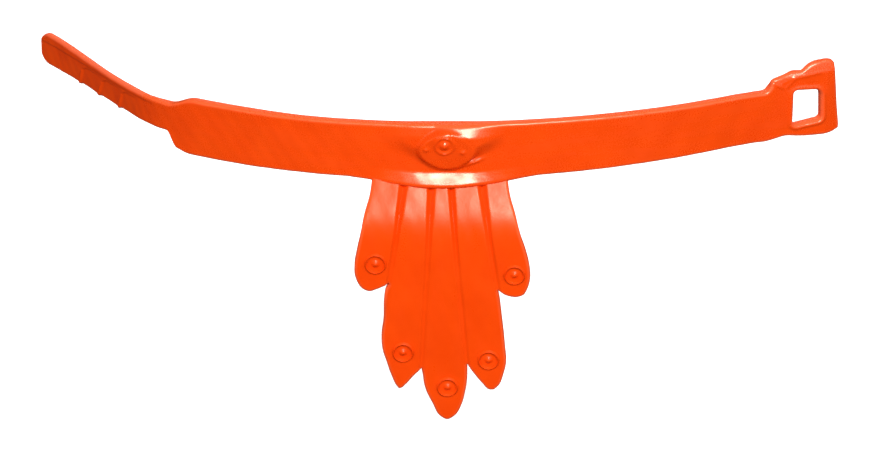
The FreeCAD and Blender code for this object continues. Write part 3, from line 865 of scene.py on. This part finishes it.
def noise(nodes, links, source, scale, detail, stretch=(1, 1, 1)):
    """Noise in object space; scale counts features per metre."""
    place = nodes.new("ShaderNodeMapping")
    place.inputs["Scale"].default_value = stretch
    links.new(source, place.inputs["Vector"])
    made = nodes.new("ShaderNodeTexNoise")
    made.inputs["Scale"].default_value = scale
    made.inputs["Detail"].default_value = detail
    links.new(place.outputs["Vector"], made.inputs["Vector"])
    return made.outputs["Fac"]


def ramp(nodes, links, value, low, high, dark, light):
    """Maps a value between two limits onto two others."""
    made = nodes.new("ShaderNodeMapRange")
    made.inputs["From Min"].default_value = low
    made.inputs["From Max"].default_value = high
    made.inputs["To Min"].default_value = dark
    made.inputs["To Max"].default_value = light
    links.new(value, made.inputs["Value"])
    return made.outputs["Result"]


def mixed(nodes, links, share, first, second):
    """A mix of two colours."""
    made = nodes.new("ShaderNodeMix")
    made.data_type = "RGBA"
    made.inputs["A"].default_value = first
    made.inputs["B"].default_value = second
    links.new(share, made.inputs["Factor"])
    return made


def bumps(nodes, links, height, look):
    """A bump node; look is its strength and its depth in metres."""
    made = nodes.new("ShaderNodeBump")
    made.inputs["Strength"].default_value = look[0]
    made.inputs["Distance"].default_value = look[1]
    links.new(height, made.inputs["Height"])
    return made


def vinyl(name, deep, bright, edge, roughness, streaks, shine):
    """Soft moulded vinyl: clouded colour, edges painted paler as a painted highlight, flow marks and a
    fine skin.
    """
    made, nodes, links = shader(name)
    skin = nodes["Principled BSDF"]
    coords = nodes.new("ShaderNodeTexCoord").outputs["Object"]
    cloud = noise(nodes, links, coords, CLOUDS, 3)
    flow = noise(nodes, links, coords, FLOW, 4, streaks)
    speck = noise(nodes, links, coords, SPECKS, 2)
    grain = noise(nodes, links, coords, GRAIN, 3)
    colour = mixed(nodes, links, ramp(nodes, links, cloud, 0.3, 0.7, 0, 1), deep, bright)
    # Painted highlight: the paler edge colour is mixed in where the mesh's edge mask is high.
    highlight_mask = nodes.new("ShaderNodeAttribute")
    highlight_mask.attribute_name = "painted_edge_highlight"
    rim = mixed(nodes, links, ramp(nodes, links, highlight_mask.outputs["Fac"], 0, 1, 0, EDGE_HIGHLIGHT_SHARE), deep, edge)
    links.new(colour.outputs["Result"], rim.inputs["A"])
    links.new(rim.outputs["Result"], skin.inputs["Base Color"])
    total = nodes.new("ShaderNodeMath")
    total.operation = "ADD"
    links.new(ramp(nodes, links, flow, 0.3, 0.7, roughness - 0.06, roughness + 0.07),
              total.inputs[0])
    links.new(ramp(nodes, links, speck, 0.3, 0.7, -0.04, 0.05), total.inputs[1])
    links.new(total.outputs["Value"], skin.inputs["Roughness"])
    fine = bumps(nodes, links, grain, FINE_SKIN)
    broad = bumps(nodes, links, flow, FLOW_MARKS)
    links.new(fine.outputs["Normal"], broad.inputs["Normal"])
    links.new(broad.outputs["Normal"], skin.inputs["Normal"])
    skin.inputs["Specular IOR Level"].default_value = shine
    skin.inputs["Specular Tint"].default_value = SHINE_TINT
    return made


def strap_vinyl():
    """Glossy, with flow marks along the strap."""
    # The third colour is the paler painted highlight on the edges.
    return vinyl("strap_vinyl", STRAP_DEEP, STRAP_BRIGHT, (0.95, 0.16, 0.05, 1),
                 STRAP_ROUGHNESS, STRAP_STREAKS, STRAP_SHINE)


def skirt_vinyl():
    """Duller, with flow marks down the strips."""
    # The third colour is the paler painted highlight on the edges.
    return vinyl("skirt_vinyl", (0.78, 0.051, 0.001, 1), (0.82, 0.059, 0.0015, 1),
                 (0.93, 0.15, 0.05, 1), 0.34, (1.5, 1.5, 0.35), 0.4)


def tongue_vinyl():
    """Duller than the strap, and a little darker: the darker colour is painted shade."""
    # The third colour is the paler painted highlight on the edges.
    return vinyl("tongue_vinyl", (0.76, 0.052, 0.0015, 1), (0.81, 0.062, 0.002, 1),
                 (0.93, 0.2, 0.09, 1), 0.34, (0.4, 0.4, 1.2), 0.6)


def buckle_vinyl():
    """The strap's own look, with a slightly paler painted highlight on its edges."""
    # The third colour is the paler painted highlight on the edges.
    return vinyl("buckle_vinyl", STRAP_DEEP, STRAP_BRIGHT, (0.95, 0.18, 0.07, 1),
                 STRAP_ROUGHNESS, STRAP_STREAKS, STRAP_SHINE)


def floor_paper():
    """Pale paper that glows a little, but only as the camera sees it."""
    made, nodes, links = shader("floor_paper")
    skin = nodes["Principled BSDF"]
    coords = nodes.new("ShaderNodeTexCoord").outputs["Object"]
    fibre = noise(nodes, links, coords, 400, 4)
    tone = mixed(nodes, links, ramp(nodes, links, fibre, 0.3, 0.7, 0, 1),
                 (0.93, 0.93, 0.925, 1), (0.96, 0.96, 0.955, 1))
    links.new(tone.outputs["Result"], skin.inputs["Base Color"])
    skin.inputs["Roughness"].default_value = 0.9
    links.new(tone.outputs["Result"], skin.inputs["Emission Color"])
    seen = nodes.new("ShaderNodeLightPath").outputs["Is Camera Ray"]
    skin.inputs["Emission Strength"].default_value = PAPER_GLOW
    dark = nodes.new("ShaderNodeEmission")
    dark.inputs["Strength"].default_value = PAPER_UNSEEN
    paper = nodes.new("ShaderNodeMixShader")
    links.new(seen, paper.inputs["Fac"])
    links.new(dark.outputs["Emission"], paper.inputs[1])
    links.new(skin.outputs["BSDF"], paper.inputs[2])
    links.new(paper.outputs["Shader"], nodes["Material Output"].inputs["Surface"])
    made.cycles.emission_sampling = "NONE"
    return made


# ---------------------------------------------------------------- build

def build_strap():
    """The middle, then the bands to the right, then those to the left and the tongue."""
    strap, tongue = strap_vinyl(), tongue_vinyl()
    centre = strap_section("centre_skin", -CENTRE_HALF, CENTRE_HALF, strap)
    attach(centre, "centre")
    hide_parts("centre_plate", "flared_lip", "medallion", "medallion_stud")
    for number, joint in enumerate(RIGHT_CHAIN[:-1]):
        start = CENTRE_HALF if number == 0 else middle_of(joint, -1)
        strap_piece("right_band_%d" % (number + 1), start,
                    middle_of(joint, 1), ["right_strap_%d" % (number + 1)], strap)
    covered = (("left_strap_1",), ("left_strap_2",), ("left_strap_shoulder",), ("tongue_root",),
               ("tongue_middle", "tongue_ridges"), ("tongue_tip",))
    names = ("left_band_1", "left_band_2", "left_band_3", "shoulder_skin", "tongue_skin", "tongue_end")
    for number, joint in enumerate(LEFT_CHAIN):
        end = -CENTRE_HALF if number == 0 else middle_of(joint, 1)
        last = number == len(LEFT_CHAIN) - 1
        start = START if last else middle_of(joint, -1)
        look, slot = (strap, "strap_vinyl") if number < 4 else (tongue, "tongue_vinyl")
        strap_piece(names[number], start, end,
                    covered[number], look)


def build_buckle():
    """The buckle with its ear and window, across the buckle's joint."""
    start = middle_of("buckle_flex", -1)
    edges, cuts = buckle_edges(start)
    skin = plate("buckle_skin", edges, cuts, buckle_relief, buckle_back, on_buckle,
                 buckle_vinyl(), holes=(WINDOW_LOOP,))
    bend(skin)
    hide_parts("buckle_frame", "buckle_ear")


def skirt_piece(name, part, material, grooves=(), high=0.0, studs=()):
    """One closed piece of the skirt, with its grooves from a level down and its studs."""
    edges, cuts = SKIRT[part]
    skin = plate(name, edges, cuts, skirt_front, skirt_back, on_skirt, material,
                 details=skirt_details(grooves, high, studs))
    return skin


def flap_bend(piece):
    """Bakes an outer strip's transform into its mesh; it is not turned here."""
    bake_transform(piece)


SKIRT = skirt_outlines()


def build_skirt():
    """The root under the lip, the long strips, the centre strip's point and the two flaps."""
    look = skirt_vinyl()
    root = skirt_piece("skirt_root_skin", "root", look, range(4), SKIRT_TOP)
    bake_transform(root)
    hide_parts("skirt_root")
    strips = skirt_piece("skirt_strips_skin", "strips", look, range(4), FLAP_CUT, (1, 3))
    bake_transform(strips)
    lengths = ("left_inner_strip", "centre_strip", "right_inner_strip", "left_web", "right_web")
    nodes = ["%s_%s" % (length, part) for part in ("upper", "lower") for length in lengths]
    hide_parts(*nodes, "left_inner_stud", "right_inner_stud")
    tip = skirt_piece("centre_tip_skin", "tip", look, studs=(2,))
    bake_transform(tip)
    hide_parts("centre_strip_tip", "centre_stud")
    left = skirt_piece("left_outer_skin", "left", look, (0,), FLAP_CUT, (0,))
    flap_bend(left)
    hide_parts("left_outer_strip", "left_fold_bead", "left_outer_stud")
    right = skirt_piece("right_outer_skin", "right", look, (3,), FLAP_CUT, (4,))
    flap_bend(right)
    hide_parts("right_outer_strip", "right_fold_bead", "right_outer_stud")


# ---------------------------------------------------------------- floor, light, camera

FLOOR_Z = -0.0392
# The white sky's strength as light and to the camera, and the share of it that is mirrored.
SKY_LIGHT = 0.16
SKY_SEEN = 1.0
SKY_MIRRORED = 0.2
# Each lamp's place, width and height in metres, and its power in watts.
KEY = ((0.08, -0.33, 0.32), 0.2, 0.09, 1.9)
FILL = ((-0.3, -0.4, 0.2), 0.4, 0.4, 1.9)
SIDE = ((0.35, -0.3, 0.12), 0.3, 0.3, 0.9)
BEHIND = ((0, 0.42, 0.2), 0.4, 0.3, 2.2)
IMAGE_WIDTH = 892
SENSOR = 36
FOCAL_PIXELS = 3192
# Angles in degrees: the camera's height over the belt, and its turn down and to the right.
ELEVATION = 25
TILT = 1.58
PAN = 0.054
DISTANCE = 0.42


def build_floor():
    """A plain sheet of paper just under the skirt's tips."""
    bpy.ops.mesh.primitive_grid_add(x_subdivisions=8, y_subdivisions=8, size=4,
                                    location=(0, 0, FLOOR_Z))
    floor = bpy.context.object
    floor.name = "floor"
    floor.data.materials.append(floor_paper())


def soft_light(name, place, wide, tall, power):
    """A rectangular lamp that faces the belt."""
    lamp = bpy.data.lights.new(name, "AREA")
    lamp.shape = "RECTANGLE"
    lamp.size = wide
    lamp.size_y = tall
    lamp.energy = power
    made = bpy.data.objects.new(name, lamp)
    made.location = place
    made.rotation_euler = (-Vector(place)).to_track_quat("-Z", "Y").to_euler()
    bpy.context.scene.collection.objects.link(made)
    return made


def build_light():
    """A white sky, a key lamp for the highlights, and lamps that aren't mirrored."""
    world = bpy.data.worlds.new("studio")
    world.use_nodes = True
    nodes, links = world.node_tree.nodes, world.node_tree.links
    nodes["Background"].inputs["Color"].default_value = (1, 1, 1, 1)
    rays = nodes.new("ShaderNodeLightPath").outputs
    strength = nodes.new("ShaderNodeMath")
    strength.operation = "MULTIPLY"
    links.new(ramp(nodes, links, rays["Is Camera Ray"], 0, 1, SKY_LIGHT, SKY_SEEN), strength.inputs[0])
    links.new(ramp(nodes, links, rays["Is Glossy Ray"], 0, 1, 1, SKY_MIRRORED), strength.inputs[1])
    links.new(strength.outputs["Value"], nodes["Background"].inputs["Strength"])
    world.cycles.sampling_method = "NONE"
    bpy.context.scene.world = world
    soft_light("key", *KEY)
    for name, lamp in (("fill", FILL), ("side", SIDE), ("behind", BEHIND)):
        soft_light(name, *lamp).visible_glossy = False


def build_camera():
    """A long lens in front of the belt and above it."""
    camera = bpy.data.cameras.new("camera")
    camera.sensor_width = SENSOR
    camera.lens = SENSOR * FOCAL_PIXELS / IMAGE_WIDTH
    camera.clip_start = 0.01
    made = bpy.data.objects.new("camera", camera)
    rise = math.radians(ELEVATION)
    made.location = (0, -DISTANCE * math.cos(rise), DISTANCE * math.sin(rise))
    made.rotation_euler = (math.radians(90 - ELEVATION - TILT), 0, math.radians(-PAN))
    bpy.context.scene.collection.objects.link(made)
    bpy.context.scene.camera = made


build_strap()
build_buckle()
build_skirt()
build_floor()
build_light()
build_camera()
bpy.context.scene.view_settings.view_transform = "Standard"
